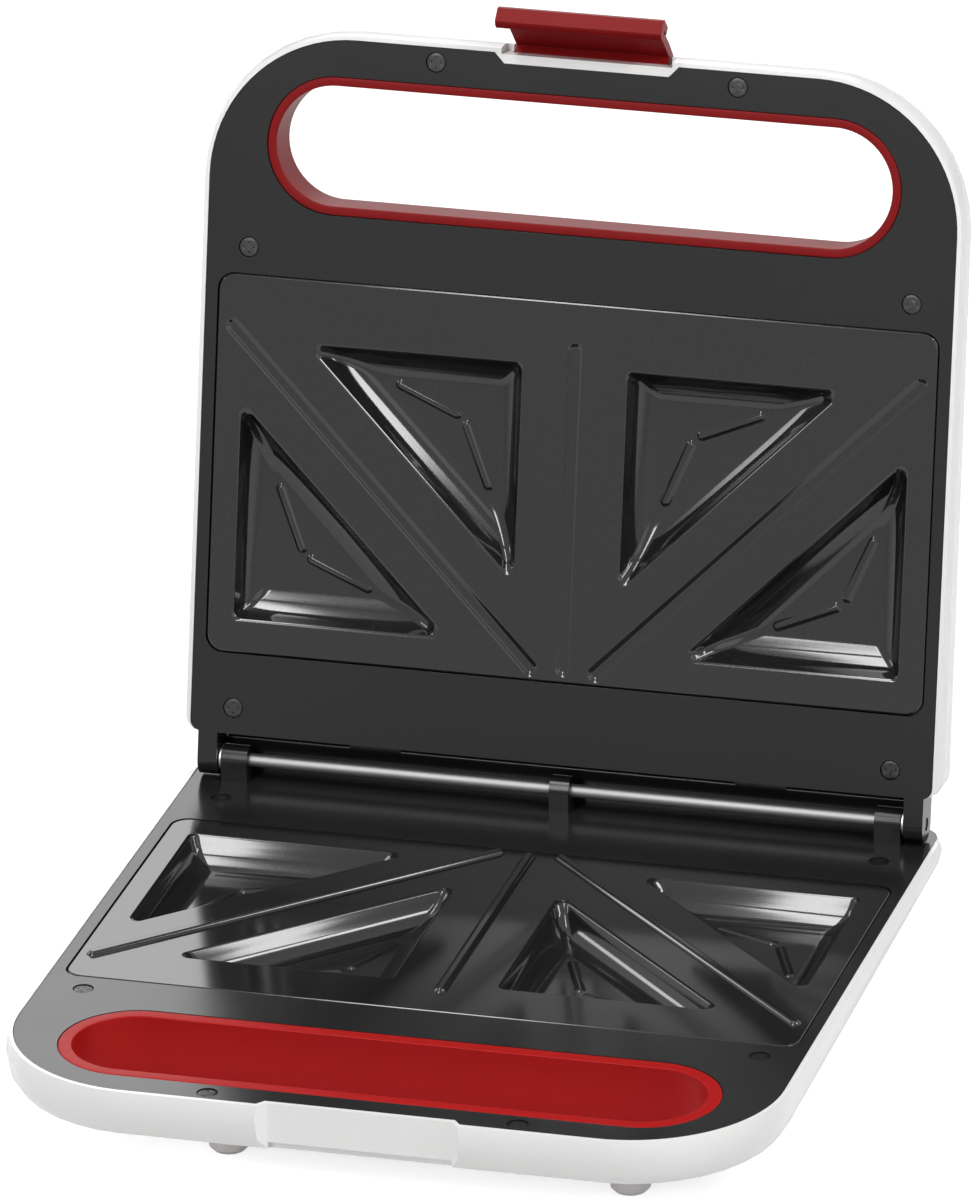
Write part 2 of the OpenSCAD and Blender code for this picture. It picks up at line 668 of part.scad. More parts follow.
module reflector() difference() {
    slab(pan_rim_z, pan_z) pan_plan(0);
    slab(pan_rim_z - over, pan_z - pan_t) pan_plan(-pan_t);
    for (s = [-1, 1]) translate([s * strap_x, -strap_screw_v, pan_rim_z])
        cylinder(d = screw_d + 0.4, h = 20);
}

module lower_reflector() color([0.8, 0.8, 0.8]) seat_base() reflector();
module upper_reflector() color([0.8, 0.8, 0.8]) seat_lid() reflector();

// ---------------------------------------------------------------- screws

screw_head_h = 1.7;

module screw(length) {
    difference() {
        cylinder(d = screw_head_d, h = screw_head_h);
        for (a = [0, 90]) rotate([0, 0, a]) translate([-1.6, -0.35, -over]) cube([3.2, 0.7, over + 0.9]);
    }
    cylinder(d = screw_d, h = length);
}

module base_screws() color([0.3, 0.3, 0.31]) seat_base()
    at_places(base_screw_places) translate([0, 0, face_z + 0.25]) screw(screw_l);
module lid_screws() color([0.3, 0.3, 0.31]) seat_lid()
    at_places(lid_screw_places) translate([0, 0, face_z + 0.25]) screw(screw_l);

module plate_screws() for (s = [-1, 1])
    translate([s * strap_x, -strap_screw_v, pan_z + screw_head_h]) mirror([0, 0, 1]) screw(9);
module lower_plate_screws() color([0.7, 0.7, 0.72]) seat_base() plate_screws();
module upper_plate_screws() color([0.7, 0.7, 0.72]) seat_lid() plate_screws();

// ---------------------------------------------------------------- feet

foot_front_v = body_v - 19;
foot_rear_v = 14;
foot_stem_r = 3;
foot_places = [[-foot_x, foot_front_v], [foot_x, foot_front_v],
    [-foot_x, foot_rear_v], [foot_x, foot_rear_v]];

// Turned rubber foot with a rounded tread and a stem that plugs into the shell
module foot(p) color([0.15, 0.15, 0.15]) seat_base()
    translate([p[0], -p[1], base_depth]) rotate_extrude()
        polygon([[0, -4], [foot_stem_r, -4], [foot_stem_r, 0], [foot_r, 0], [foot_r - 0.6, foot_h - 1.2],
            [foot_r - 1.8, foot_h], [0, foot_h]]);

module foot_front_left() foot(foot_places[0]);
module foot_front_right() foot(foot_places[1]);
module foot_rear_left() foot(foot_places[2]);
module foot_rear_right() foot(foot_places[3]);

// ---------------------------------------------------------------- electrics

gland_x = half_w - 45;
gland_z = 24;
gland_d = 10;
gland_y = base_rear - 6 + 0.1;     // outer side of the shell's rear wall at the gland

module cord_gland() color([0.12, 0.12, 0.12]) seat_base()
    translate([gland_x, gland_y, gland_z]) rotate([90, 0, 0]) difference() {
        union() {
            translate([0, 0, -3]) cylinder(d = gland_d + 4, h = 3);
            cylinder(d = gland_d, h = 10);
        }
        translate([0, 0, -3 - over]) cylinder(d = gland_bore, h = 13 + 2 * over);
    }

block_l = 34;
block_w = 12;
block_h = 13;
pole_pitch = 11;
pole_x = 6;                        // from the block's end to its first pole

module terminal_block() color([0.9, 0.88, 0.8]) seat_base()
    translate([gland_x - 18 - block_l, -18, base_depth - shell_t - block_h]) difference() {
        cube([block_l, block_w, block_h]);
        for (i = [0:2]) translate([pole_x + pole_pitch * i, -over, block_h / 2]) rotate([-90, 0, 0])
            cylinder(d = 4, h = block_w + 2 * over);
        for (i = [0:1]) translate([pole_x + pole_pitch * (i + 0.5) - 0.6, -over, -over])
            cube([1.2, block_w + 2 * over, 4 + over]);
    }

module thermal_fuse() color([0.85, 0.85, 0.8]) seat_base()
    translate([-40, -strap_screw_v - 14, pan_z + eps]) {
        along_x(-9, 9) translate([0, 2]) circle(d = 4);
        for (x0 = [-15, 9]) along_x(x0, x0 + 6) translate([0, 2]) circle(d = 1.4);
    }

thermostat_x = half_w - 55;

module thermostat() color([0.82, 0.8, 0.74]) seat_lid()
    translate([thermostat_x, -strap_screw_v, pan_z]) {
        cylinder(d = 18, h = 5);
        translate([0, 0, 5 - eps]) cylinder(d = 12, h = 4);
        for (s = [-1, 1]) translate([s * 9 - 2, -2, 2]) cube([4, 4, 0.8]);
    }

lens_places = [-9, 9];
lens_v = body_v - 63.5;

module lens(x) seat_lid() translate([x, -lens_v, lid_height - shell_t]) {
    cylinder(d = lens_d, h = shell_t + 0.3);
    translate([0, 0, shell_t + 0.3]) cylinder(d1 = lens_d, d2 = lens_d - 1.6, h = 0.7);
    translate([0, 0, -1]) cylinder(d = lens_d + 2, h = 1);
}
module power_lens() color([0.8, 0.1, 0.1, 0.7]) lens(lens_places[0]);
module ready_lens() color([0.1, 0.65, 0.2, 0.7]) lens(lens_places[1]);

module lamp_holder() color([0.88, 0.88, 0.86]) seat_lid()
    translate([0, -lens_v, pan_z]) difference() {
        translate([-17, -7, 0]) cube([34, 14, lid_height - shell_t - 1 - fit - pan_z]);
        for (x = lens_places) translate([x, 0, 1.2]) cylinder(d = lens_d + 0.4, h = 20);
    }

module neon_lamps() color([0.95, 0.7, 0.5, 0.6]) seat_lid()
    for (x = lens_places) translate([x, -lens_v, pan_z + 1.2]) {
        cylinder(d = 4, h = 3);
        translate([0, 0, 3]) sphere(d = 4);
    }

// ---------------------------------------------------------------- latch

latch_v = shell_f - 3;             // pivot, from the hinge axis
latch_z = 8.3;                     // pivot, above the parting plane
barrel_r = latch_pin_d / 2 + 2;
arm_in = shell_f - recess_d + band_bulge + 0.5;
hook_t = 3;
arm_half = latch_w / 2 - latch_shoulder;
hook_z = catch_z + 0.5;            // depth of the hook's holding face below the parting plane
hook_in = shell_f - recess_d - hook_bite;
pocket_x = arm_half + 0.8;
pin_half = latch_w / 2 + 3.6;
hook_end = -latch_z - hook_z - hook_t;  // end of the hook, from the pivot, when hooked

// Block inside a shell's front: it holds the pin's ends in the lid and backs the base's recess
module front_block(d)
    translate([-block_half, -shell_f, 0]) cube([2 * block_half, d, handle_t]);

// Opening in the lid for the latch's barrel, and a step in its front for the arm
module latch_pocket() {
    translate([-pocket_x, -latch_v - barrel_r - 12, latch_z - barrel_r - 0.5])
        cube([2 * pocket_x, 12 + 2 * barrel_r + 0.5, handle_t + 8]);
    translate([-latch_w / 2 - 0.8, -arm_in - 12 + 0.5, -over])
        cube([latch_w + 1.6, 12, latch_z]);
}

// Arm and hook, drawn hooked, with the pivot at the origin and the front at -x
arm_x = arm_in - latch_v;
face_x = arm_x + latch_t;
hook_x = hook_in - latch_v;

module arm_profile() {
    circle(r = barrel_r);
    // web from the barrel out to the arm
    translate([-face_x, -barrel_r]) square([face_x, 2 * barrel_r]);
    polygon([[-arm_x, barrel_r], [-face_x, barrel_r], [-face_x - 0.6, -6],
        [-face_x, hook_end + 2], [-arm_x, hook_end + 2]]);
}

module hook_profile()
    polygon([[-face_x - 0.02, hook_end + 6], [-face_x, hook_end + 1], [-face_x + 1, hook_end],
        [-hook_x - 0.8, hook_end], [-hook_x, hook_end + 1.2], [-hook_x, hook_end + hook_t],
        [-arm_x, hook_end + hook_t], [-arm_x, hook_end + 6]]);

module latch() color([0.72, 0.1, 0.12]) seat_lid()
    translate([0, -latch_v, latch_z]) rotate([-latch_rest, 0, 0]) difference() {
        union() {
            along_x(-arm_half, arm_half) arm_profile();
            along_x(-latch_w / 2, latch_w / 2) hook_profile();
        }
        along_x(-latch_w / 2 - over, latch_w / 2 + over) circle(d = latch_pin_d + 0.1);
    }

module latch_pin() color([0.7, 0.7, 0.72]) seat_lid()
    along_x(-pin_half, pin_half) translate([-latch_v, latch_z]) circle(d = latch_pin_d);

base_shell();
base_frame();
lower_plate();
lower_heater();
lower_heater_straps();
lower_reflector();
base_handle_liner();
foot_front_left();
foot_front_right();
foot_rear_left();
foot_rear_right();
base_screws();
lower_plate_screws();
hinge_rod();
hinge_washers();
cord_gland();
terminal_block();
thermal_fuse();
lid_shell();
lid_frame();
upper_plate();
upper_heater();
upper_heater_straps();
upper_reflector();
lid_handle_liner();
lid_screws();
upper_plate_screws();
thermostat();
power_lens();
ready_lens();
lamp_holder();
neon_lamps();
latch_pin();
latch();
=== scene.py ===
"""Dresses the packed sandwich toaster: finishes for its nodes, its finer pieces and a plain stage.

Everything is in metres in the part's own frame. The base rests on z = 0 with its handles
towards -Y, and the lid stands open behind the hinge rod.
"""

import json
import math

import bmesh
import bpy
from bpy.props import FloatProperty, FloatVectorProperty, PointerProperty
from mathutils import Matrix, Vector


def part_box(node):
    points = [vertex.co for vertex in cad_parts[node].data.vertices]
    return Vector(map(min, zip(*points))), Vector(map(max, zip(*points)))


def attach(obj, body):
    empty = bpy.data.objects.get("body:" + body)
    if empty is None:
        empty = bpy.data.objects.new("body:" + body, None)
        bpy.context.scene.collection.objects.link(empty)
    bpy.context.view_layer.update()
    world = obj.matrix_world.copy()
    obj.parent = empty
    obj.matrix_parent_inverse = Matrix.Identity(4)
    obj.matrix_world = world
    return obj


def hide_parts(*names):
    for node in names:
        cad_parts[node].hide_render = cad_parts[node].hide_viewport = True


bl_info = {
    "name": "Sandwich Toaster Dressing",
    "version": (1, 0, 0),
    "blender": (4, 5, 0),
    "location": "View3D > Sidebar > Toaster",
    "description": "Gives the sandwich toaster its finishes, finer pieces and a plain stage",
    "category": "Object",
}

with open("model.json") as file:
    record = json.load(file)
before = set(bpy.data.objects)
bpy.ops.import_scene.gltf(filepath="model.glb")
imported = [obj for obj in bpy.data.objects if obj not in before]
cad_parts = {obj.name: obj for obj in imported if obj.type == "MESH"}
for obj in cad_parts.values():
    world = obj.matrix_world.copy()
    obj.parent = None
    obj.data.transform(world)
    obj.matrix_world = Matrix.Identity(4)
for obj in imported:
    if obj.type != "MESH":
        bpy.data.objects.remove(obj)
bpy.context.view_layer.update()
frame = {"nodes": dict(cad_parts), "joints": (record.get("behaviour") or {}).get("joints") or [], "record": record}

HINGE = next(j for j in frame["joints"] if j["name"] == "lid_hinge")
OPEN_ANGLE = math.radians(HINGE["range_deg"][1])
AXIS = Vector(HINGE["pos_m"])

PHOTO_LONG_SIDE_PX = 1200
CAMERA_FOCAL_PX = 14907
SENSOR_MM = 36
CAMERA_RANGE = (0.1, 50.0)  # metres

# Scales of the patterns in the shared groups
WAVES_PER_METRE = 34.0
GLOSS_PATCHES_PER_METRE = 22.0
PEEL_PER_METRE = 520.0
FLECK_FROM, FLECK_FULL = 0.58, 0.74  # noise at which a fleck begins and is full
LINE_ROUGHNESS_DRIFT = 0.12


# ------------------------------------------------------------------ shader helpers


def connect(tree, node, values):
    """Links or sets a node's input sockets, given by name or number."""
    for socket, value in values.items():
        if isinstance(value, bpy.types.NodeSocket):
            tree.links.new(value, node.inputs[socket])
        else:
            node.inputs[socket].default_value = value


def add(tree, kind, values=None, **fields):
    """Adds a shader node; values are its input sockets by name or number."""
    node = tree.nodes.new(kind)
    for name, value in fields.items():
        setattr(node, name, value)
    connect(tree, node, values or {})
    return node


def new_group(name, inputs, outputs):
    """Starts a shader node group with named sockets: (name, kind, default)."""
    tree = bpy.data.node_groups.new(name, "ShaderNodeTree")
    for label, kind, default in inputs:
        socket = tree.interface.new_socket(label, in_out="INPUT", socket_type=kind)
        socket.default_value = default
    for label, kind in outputs:
        tree.interface.new_socket(label, in_out="OUTPUT", socket_type=kind)
    return tree, add(tree, "NodeGroupInput"), add(tree, "NodeGroupOutput")


def group(tree, name, values):
    """Places a shared node group in a material."""
    return add(tree, "ShaderNodeGroup", values, node_tree=bpy.data.node_groups[name])


def math_node(tree, operation, a, b=0.0, clamp=False):
    """One step of arithmetic on two values or sockets."""
    node = add(tree, "ShaderNodeMath", {0: a, 1: b}, operation=operation, use_clamp=clamp)
    return node.outputs[0]


def mix_colour(tree, factor, a, b):
    """Colour a where the factor is 0 and colour b where it is 1."""
    return add(tree, "ShaderNodeMix", {0: factor, 6: a, 7: b}, data_type="RGBA").outputs[2]


def rest_position(tree):
    """The point on the piece in the part's own frame, in metres."""
    return add(tree, "ShaderNodeTexCoord").outputs["Object"]


def noise(tree, place, scale, detail):
    """Noise from 0 to 1 at a point."""
    values = {"Vector": place, "Scale": scale, "Detail": detail}
    return add(tree, "ShaderNodeTexNoise", values).outputs[0]


def drift(tree, source, amount):
    """Noise turned into a change to either side of zero."""
    return math_node(tree, "MULTIPLY", math_node(tree, "SUBTRACT", source, 0.5), amount)


def bump(tree, height):
    """The normal of a surface that stands out by a height in metres."""
    values = {"Strength": 1.0, "Distance": 1.0, "Height": height}
    return add(tree, "ShaderNodeBump", values).outputs[0]


def seen_directly(tree):
    """1 for rays from the camera, from a reflection or through glass, and 0 for the rest."""
    path = add(tree, "ShaderNodeLightPath").outputs
    bounced = math_node(tree, "MAXIMUM", path["Is Glossy Ray"], path["Is Transmission Ray"])
    return math_node(tree, "MAXIMUM", path["Is Camera Ray"], bounced)


def build_moulded_grain():
    """Fine grain of a moulded or sprayed surface, over slow waves in its gloss."""
    tree, given, result = new_group(
        "Moulded grain",
        [
            ("Roughness", "NodeSocketFloat", 0.3),
            ("Roughness Drift", "NodeSocketFloat", 0.04),
            ("Grain Size", "NodeSocketFloat", 0.0004),
            ("Grain Height", "NodeSocketFloat", 0.00001),
            ("Wave Height", "NodeSocketFloat", 0.00002),
        ],
        [("Roughness", "NodeSocketFloat"), ("Normal", "NodeSocketVector")],
    )
    place = rest_position(tree)
    grain_scale = math_node(tree, "DIVIDE", 1.0, given.outputs["Grain Size"])
    grain = noise(tree, place, grain_scale, 2.0)
    wave = noise(tree, place, WAVES_PER_METRE, 1.0)
    height = math_node(
        tree,
        "ADD",
        math_node(tree, "MULTIPLY", grain, given.outputs["Grain Height"]),
        math_node(tree, "MULTIPLY", wave, given.outputs["Wave Height"]),
    )
    patches = noise(tree, place, GLOSS_PATCHES_PER_METRE, 3.0)
    change = drift(tree, patches, given.outputs["Roughness Drift"])
    rough = math_node(tree, "ADD", given.outputs["Roughness"], change, clamp=True)
    connect(tree, result, {"Roughness": rough, "Normal": bump(tree, height)})


def build_colour_drift():
    """Slow, faint change of shade over a piece."""
    tree, given, result = new_group(
        "Colour drift",
        [
            ("Colour", "NodeSocketColor", (0.5, 0.5, 0.5, 1)),
            ("Amount", "NodeSocketFloat", 0.05),
            ("Patch Size", "NodeSocketFloat", 0.04),
        ],
        [("Colour", "NodeSocketColor")],
    )
    scale = math_node(tree, "DIVIDE", 1.0, given.outputs["Patch Size"])
    patches = noise(tree, rest_position(tree), scale, 4.0)
    shade = math_node(tree, "ADD", drift(tree, patches, given.outputs["Amount"]), 1.0)
    values = {0: given.outputs["Colour"], "Scale": shade}
    scaled = add(tree, "ShaderNodeVectorMath", values, operation="SCALE")
    connect(tree, result, {"Colour": scaled.outputs[0]})


def build_drawn_lines():
    """Fine lines that drawing or grinding leaves along a metal piece."""
    tree, given, result = new_group(
        "Drawn lines",
        [
            ("Roughness", "NodeSocketFloat", 0.2),
            ("Line Depth", "NodeSocketFloat", 0.00001),
            ("Stretch", "NodeSocketVector", (20.0, 900.0, 900.0)),
        ],
        [("Roughness", "NodeSocketFloat"), ("Normal", "NodeSocketVector")],
    )
    values = {0: rest_position(tree), 1: given.outputs["Stretch"]}
    stretched = add(tree, "ShaderNodeVectorMath", values, operation="MULTIPLY")
    lines = noise(tree, stretched.outputs[0], 1.0, 3.0)
    height = math_node(tree, "MULTIPLY", lines, given.outputs["Line Depth"])
    change = drift(tree, lines, LINE_ROUGHNESS_DRIFT)
    rough = math_node(tree, "ADD", given.outputs["Roughness"], change, clamp=True)
    connect(tree, result, {"Roughness": rough, "Normal": bump(tree, height)})


def build_coating_speckle():
    """Speckle of a sprayed non-stick coating: lighter flecks and a fine orange peel."""
    tree, given, result = new_group(
        "Coating speckle",
        [
            ("Colour", "NodeSocketColor", (0.03, 0.03, 0.03, 1)),
            ("Fleck Colour", "NodeSocketColor", (0.09, 0.09, 0.09, 1)),
            ("Fleck Size", "NodeSocketFloat", 0.0005),
            ("Peel Height", "NodeSocketFloat", 0.00001),
        ],
        [("Colour", "NodeSocketColor"), ("Normal", "NodeSocketVector")],
    )
    place = rest_position(tree)
    scale = math_node(tree, "DIVIDE", 1.0, given.outputs["Fleck Size"])
    flecks = noise(tree, place, scale, 1.0)
    values = {"Value": flecks, "From Min": FLECK_FROM, "From Max": FLECK_FULL}
    mask = add(tree, "ShaderNodeMapRange", values).outputs[0]
    colour = mix_colour(tree, mask, given.outputs["Colour"], given.outputs["Fleck Colour"])
    peel = noise(tree, place, PEEL_PER_METRE, 2.0)
    height = math_node(tree, "MULTIPLY", peel, given.outputs["Peel Height"])
    connect(tree, result, {"Colour": colour, "Normal": bump(tree, height)})


def build_shared_groups():
    """Builds the node groups that several materials use."""
    build_moulded_grain()
    build_colour_drift()
    build_drawn_lines()
    build_coating_speckle()


# ------------------------------------------------------------------ materials


def new_material(name, **surface):
    """A material with only a Principled surface; surface sets its own sockets."""
    material = bpy.data.materials.new(name)
    material.use_nodes = True
    tree = material.node_tree
    shader = tree.nodes["Principled BSDF"]
    for socket, value in surface.items():
        shader.inputs[socket.replace("_", " ")].default_value = value
    return material, tree, shader


def dress(tree, shader, shade, skin):
    """Links a colour group and a roughness and normal group to the surface."""
    values = {
        "Base Color": shade.outputs["Colour"],
        "Roughness": skin.outputs["Roughness"],
        "Normal": skin.outputs["Normal"],
    }
    connect(tree, shader, values)


def moulded_plastic(name, colour, roughness, grain, shade_drift, **surface):
    """Injection-moulded plastic: (grain size, grain height, wave height) in metres."""
    material, tree, shader = new_material(name, **surface)
    values = {"Colour": colour, "Amount": shade_drift, "Patch Size": 0.05}
    shade = group(tree, "Colour drift", values)
    skin = group(
        tree,
        "Moulded grain",
        {
            "Roughness": roughness,
            "Roughness Drift": 0.08,
            "Grain Size": grain[0],
            "Grain Height": grain[1],
            "Wave Height": grain[2],
        },
    )
    dress(tree, shader, shade, skin)
    return material


def red_moulding(name, colour):
    """The red plastic of the slot liners and the latch, made once in its own red and once in a darker copy that is
    painted shade on the lid's liner and the latch.
    """
    return moulded_plastic(
        name, rgba(colour), 0.42, (0.0005, 0.000004, 0.00002), 0.06, Specular_IOR_Level=0.12
    )


def drawn_metal(name, colour, roughness, depth, stretch, **surface):
    """Bare metal with drawing or grinding lines."""
    material, tree, shader = new_material(name, Metallic=1.0, **surface)
    shade = group(tree, "Colour drift", {"Colour": colour, "Amount": 0.12, "Patch Size": 0.02})
    lines = group(
        tree, "Drawn lines", {"Roughness": roughness, "Line Depth": depth, "Stretch": stretch}
    )
    dress(tree, shader, shade, lines)
    return material


def coated_casting(name, colour, fleck, roughness, **surface):
    """Cast plate under a dark non-stick coating."""
    material, tree, shader = new_material(name, Roughness=roughness, **surface)
    coat = group(
        tree,
        "Coating speckle",
        {"Colour": colour, "Fleck Colour": fleck, "Fleck Size": 0.0006, "Peel Height": 0.000001},
    )
    shade = group(
        tree,
        "Colour drift",
        {"Colour": coat.outputs["Colour"], "Amount": 0.2, "Patch Size": 0.03},
    )
    values = {"Base Color": shade.outputs["Colour"], "Normal": coat.outputs["Normal"]}
    connect(tree, shader, values)
    return material


def clear_plastic(name, colour, **surface):
    """Clear moulded lens or glass bulb."""
    material, tree, shader = new_material(name, Transmission_Weight=0.85, IOR=1.49, **surface)
    shade = group(tree, "Colour drift", {"Colour": colour, "Amount": 0.1, "Patch Size": 0.004})
    skin = group(
        tree,
        "Moulded grain",
        {
            "Roughness": 0.08,
            "Roughness Drift": 0.05,
            "Grain Size": 0.0008,
            "Grain Height": 0.00001,
            "Wave Height": 0.0,
        },
    )
    dress(tree, shader, shade, skin)
    return material


def rgba(colour):
    """A colour property with full opacity."""
    return (colour[0], colour[1], colour[2], 1.0)


def build_materials(looks):
    """Makes one material for each of the record's material slots."""
    steel = (0.62, 0.62, 0.63, 1)
    cream = (0.78, 0.74, 0.64, 1)
    return {
        "white_shell": moulded_plastic(
            "White shell plastic", rgba(looks.shell_colour), 0.26, (0.0006, 0.000004, 0.00003), 0.02
        ),
        "black_frame": moulded_plastic(
            "Black frame plastic",
            rgba(looks.frame_colour),
            0.2,
            (0.0005, 0.000003, 0.00003),
            0.15,
            Specular_IOR_Level=0.28,
        ),
        "coated_plate": coated_casting(
            "Non-stick plate coating", rgba(looks.plate_colour), (0.018, 0.0175, 0.0175, 1), 0.1
        ),
        "red_plastic": red_moulding("Red handle plastic", looks.red_colour),
        # A darker copy of the same red plastic: painted shade on the lid's slot liner and the latch
        "painted_shade_red": red_moulding("Red plastic with painted shade", looks.painted_shade_red_colour),
        "bright_rod": drawn_metal(
            "Ground rod steel", (0.3, 0.3, 0.305, 1), 0.5, 0.000004, (25.0, 2200.0, 2200.0)
        ),
        "zinc_steel": drawn_metal(
            "Zinc plated steel", steel, 0.36, 0.00001, (600.0, 80.0, 600.0)
        ),
        "pan_sheet": drawn_metal(
            "Rolled pan sheet", (0.76, 0.76, 0.77, 1), 0.28, 0.000008, (30.0, 1500.0, 1500.0)
        ),
        "element_tube": drawn_metal(
            "Heat-stained tube", (0.3, 0.26, 0.22, 1), 0.42, 0.00001, (40.0, 900.0, 900.0)
        ),
        "dark_screw": drawn_metal(
            "Blackened screw", (0.045, 0.045, 0.047, 1), 0.34, 0.00001, (900.0, 900.0, 60.0)
        ),
        "foot_rubber": moulded_plastic(
            "Foot rubber", (0.8, 0.8, 0.8, 1), 0.72, (0.0003, 0.00003, 0.00002), 0.3
        ),
        "gland_rubber": moulded_plastic(
            "Gland rubber", (0.025, 0.025, 0.025, 1), 0.62, (0.0003, 0.00002, 0.00002), 0.3
        ),
        "cream_plastic": moulded_plastic(
            "Cream inner plastic", cream, 0.55, (0.0004, 0.00002, 0.00002), 0.1
        ),
        "red_lens": clear_plastic("Red lens", (0.8, 0.03, 0.02, 1)),
        "green_lens": clear_plastic("Green lens", (0.05, 0.7, 0.12, 1)),
        "lamp_glass": clear_plastic("Lamp glass", (0.95, 0.8, 0.62, 1)),
    }


# ------------------------------------------------------------------ pieces


WELD_GAP = 0.000005  # metres
EDGE_SEGMENTS = 2
EDGE_ANGLE = math.radians(35.0)  # faces that meet at less are one surface
FLAT_WEIGHT = 90

# Nodes whose finish isn't that of their material slot: the lid's liner and the latch get a darker copy of their
# red plastic, which is painted shade
NODE_LOOKS = {"lid_handle_liner": "painted_shade_red", "latch": "painted_shade_red"}

# Edge rounding of the nodes that stay as the solids made them, in metres
PLAIN_EDGE = 0.00015
NODE_EDGES = {
    "base_frame": 0.0004,
    "lid_frame": 0.0004,
    "base_handle_liner": 0.0004,
    "lid_handle_liner": 0.0004,
    "latch": 0.0006,
    "hinge_rod": 0.0003,
    "hinge_washers": 0.0001,
    "cord_gland": 0.0005,
}


def soften(piece, width):
    """Rounds a hard-edged piece a little and shades it smooth between its real edges."""
    for polygon in piece.data.polygons:
        polygon.use_smooth = True
    weld = piece.modifiers.new("Join faces", "WELD")
    weld.merge_threshold = WELD_GAP
    bevel = piece.modifiers.new("Rounded edges", "BEVEL")
    bevel.width = width
    bevel.segments = EDGE_SEGMENTS
    bevel.limit_method = "ANGLE"
    bevel.angle_limit = EDGE_ANGLE
    bevel.miter_outer = "MITER_ARC"
    shading = piece.modifiers.new("Flat faces stay flat", "WEIGHTED_NORMAL")
    shading.mode = "FACE_AREA_WITH_ANGLE"
    shading.weight = FLAT_WEIGHT


# ------------------------------------------------------------------ cast plates

MM = 0.001

# A plate is drawn like the solids' halves: x across, y = minus the distance in front of the
# hinge axis, z = depth below the parting plane. All lengths below are in millimetres.
FACE_DEPTH = 0.3
PLATE_THICK = 3.0
PLATE_CORNER = 5.0
# The plate's upper edge: steps of (inset, drop)
EDGE_STEPS = [(0.6, 0.0), (0.3, 0.08), (0.08, 0.3), (0.0, 0.6), (0.0, PLATE_THICK)]
AXIS_RISE = 5.6  # of the hinge axis over the parting plane
POCKET_DEPTH = 8.5
POCKET_RUN = 9.1  # from a pocket's outline in to its flat floor
POCKET_LIP = 0.9  # from the outline out to where the rim's rounding starts
POCKET_GAP = 27.86  # between the long sides of an outer and an inner pocket
RIM_RADIUS = 1.1
RIM_STEPS = 5
RIM_CORNER = 2.4
WALL_ANGLE = math.radians(70.0)
FILLET_STEPS = 10
FILLET_CORNER, CORNER_TAPER = 2.2, 0.05  # the corners get tighter with each step down

# The cups behind the pockets
CUP_WALL = 2.4
CUP_DEPTH = 12.7
CUP_CORNER, CUP_FLOOR_CORNER = 5.0, 4.0
CUP_EDGE = [(1.0, 0.6), (0.4, 0.0)]  # (inset, rise) of the floor's slanted edge

# The pockets' right angles: from the plate's sides and rear, and from its middle and front
OUTER_INSET, OUTER_REAR = 8.0, 10.4
INNER_X, INNER_FRONT = 16.3, 19.9

SHARP_CORNER = math.radians(45.0)
RAY_INSET = 1.4
RAY_SHARE = 0.34  # of a pocket's short side
RAY_PROFILE = [(1.7, 0.05), (1.35, -0.14), (1.0, -0.36), (0.55, -0.54), (0.2, -0.6)]

SEAM_REAR, SEAM_FRONT = 1.6, 11.9
SEAM_MEET = 27.0  # the diagonal seams would meet this far in front of the axis
SEAM_SIDE = 3.0
RIDGE_HALF, GROOVE_HALF = 2.2, 2.7
RIDGE_HEIGHT, GROOVE_HEIGHT = 1.2, -0.7
# Shares of a seam's half width and height, from its foot up
SEAM_PROFILE = [(1.0, 0.0), (0.86, 0.12), (0.62, 0.6), (0.48, 0.9), (0.3, 1.0)]

POST_X = 34.0
POST_RADIUS = 4.0
POST_LENGTH = 7.39
POST_BACK = 8.0
POST_CHAMFER = 0.3
POST_FOOT = 0.5
POST_SIDES = 24
POST_SUNK = 1.0  # how far a post starts inside the cups' depth

CORNER_STEPS = 7
BAR_END_STEPS = 8
FLAT_COSINE = 0.9999  # over this a face counts as lying across a direction


def box_mm(node):
    """Lowest and highest corner of a node's solid, in millimetres."""
    low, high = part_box(node)
    return [value / MM for value in low], [value / MM for value in high]


def plate_limits():
    """Half width, front and rear of the plates, the last two from the hinge axis."""
    low, high = box_mm("lower_plate")
    axis = AXIS.y / MM
    return high[0], axis - low[1], axis - high[1]


def right_triangle(x, y, run_x, run_y):
    """The corners of a triangle with its sides along the axes, its right angle first."""
    return [Vector((x, y)), Vector((x, y + run_y)), Vector((x + run_x, y))]


def pocket_triangles():
    """The four pockets as right-angled triangles."""
    half, front, rear = plate_limits()
    outer_x, outer_v = half - OUTER_INSET, rear + OUTER_REAR
    inner_x, inner_v = INNER_X, front - INNER_FRONT
    leg = (outer_x - outer_v - inner_x + inner_v - POCKET_GAP * math.sqrt(2)) / 2
    triangles = []
    for side in (1, -1):
        triangles.append(right_triangle(side * outer_x, -outer_v, -side * leg, -leg))
        triangles.append(right_triangle(side * inner_x, -inner_v, side * leg, leg))
    return triangles


def soft_triangle(corners, inset, radius):
    """Triangle with its sides moved in and its corners rounded, anticlockwise."""
    a, b, c = corners
    if (b - a).cross(c - a) < 0:
        b, c = c, b
    ring = [a, b, c]
    points = []
    for k in range(3):
        here = ring[k]
        back = (ring[k - 1] - here).normalized()
        ahead = (ring[(k + 1) % 3] - here).normalized()
        half = math.acos(back.dot(ahead)) / 2
        centre = here + (back + ahead).normalized() * ((inset + radius) / math.sin(half))
        first = math.atan2(back.x, -back.y)
        turn = math.pi - 2 * half
        for i in range(CORNER_STEPS + 1):
            angle = first + turn * i / CORNER_STEPS
            points.append(centre + radius * Vector((math.cos(angle), math.sin(angle))))
    return points


def rounded_rectangle(half, front, rear, radius):
    """The plate's outline, anticlockwise."""
    points = []
    corners = [
        (half - radius, -front + radius, -90),
        (half - radius, -rear - radius, 0),
        (-half + radius, -rear - radius, 90),
        (-half + radius, -front + radius, 180),
    ]
    for x, y, start in corners:
        for i in range(CORNER_STEPS + 1):
            angle = math.radians(start + 90 * i / CORNER_STEPS)
            points.append(Vector((x + radius * math.cos(angle), y + radius * math.sin(angle))))
    return points


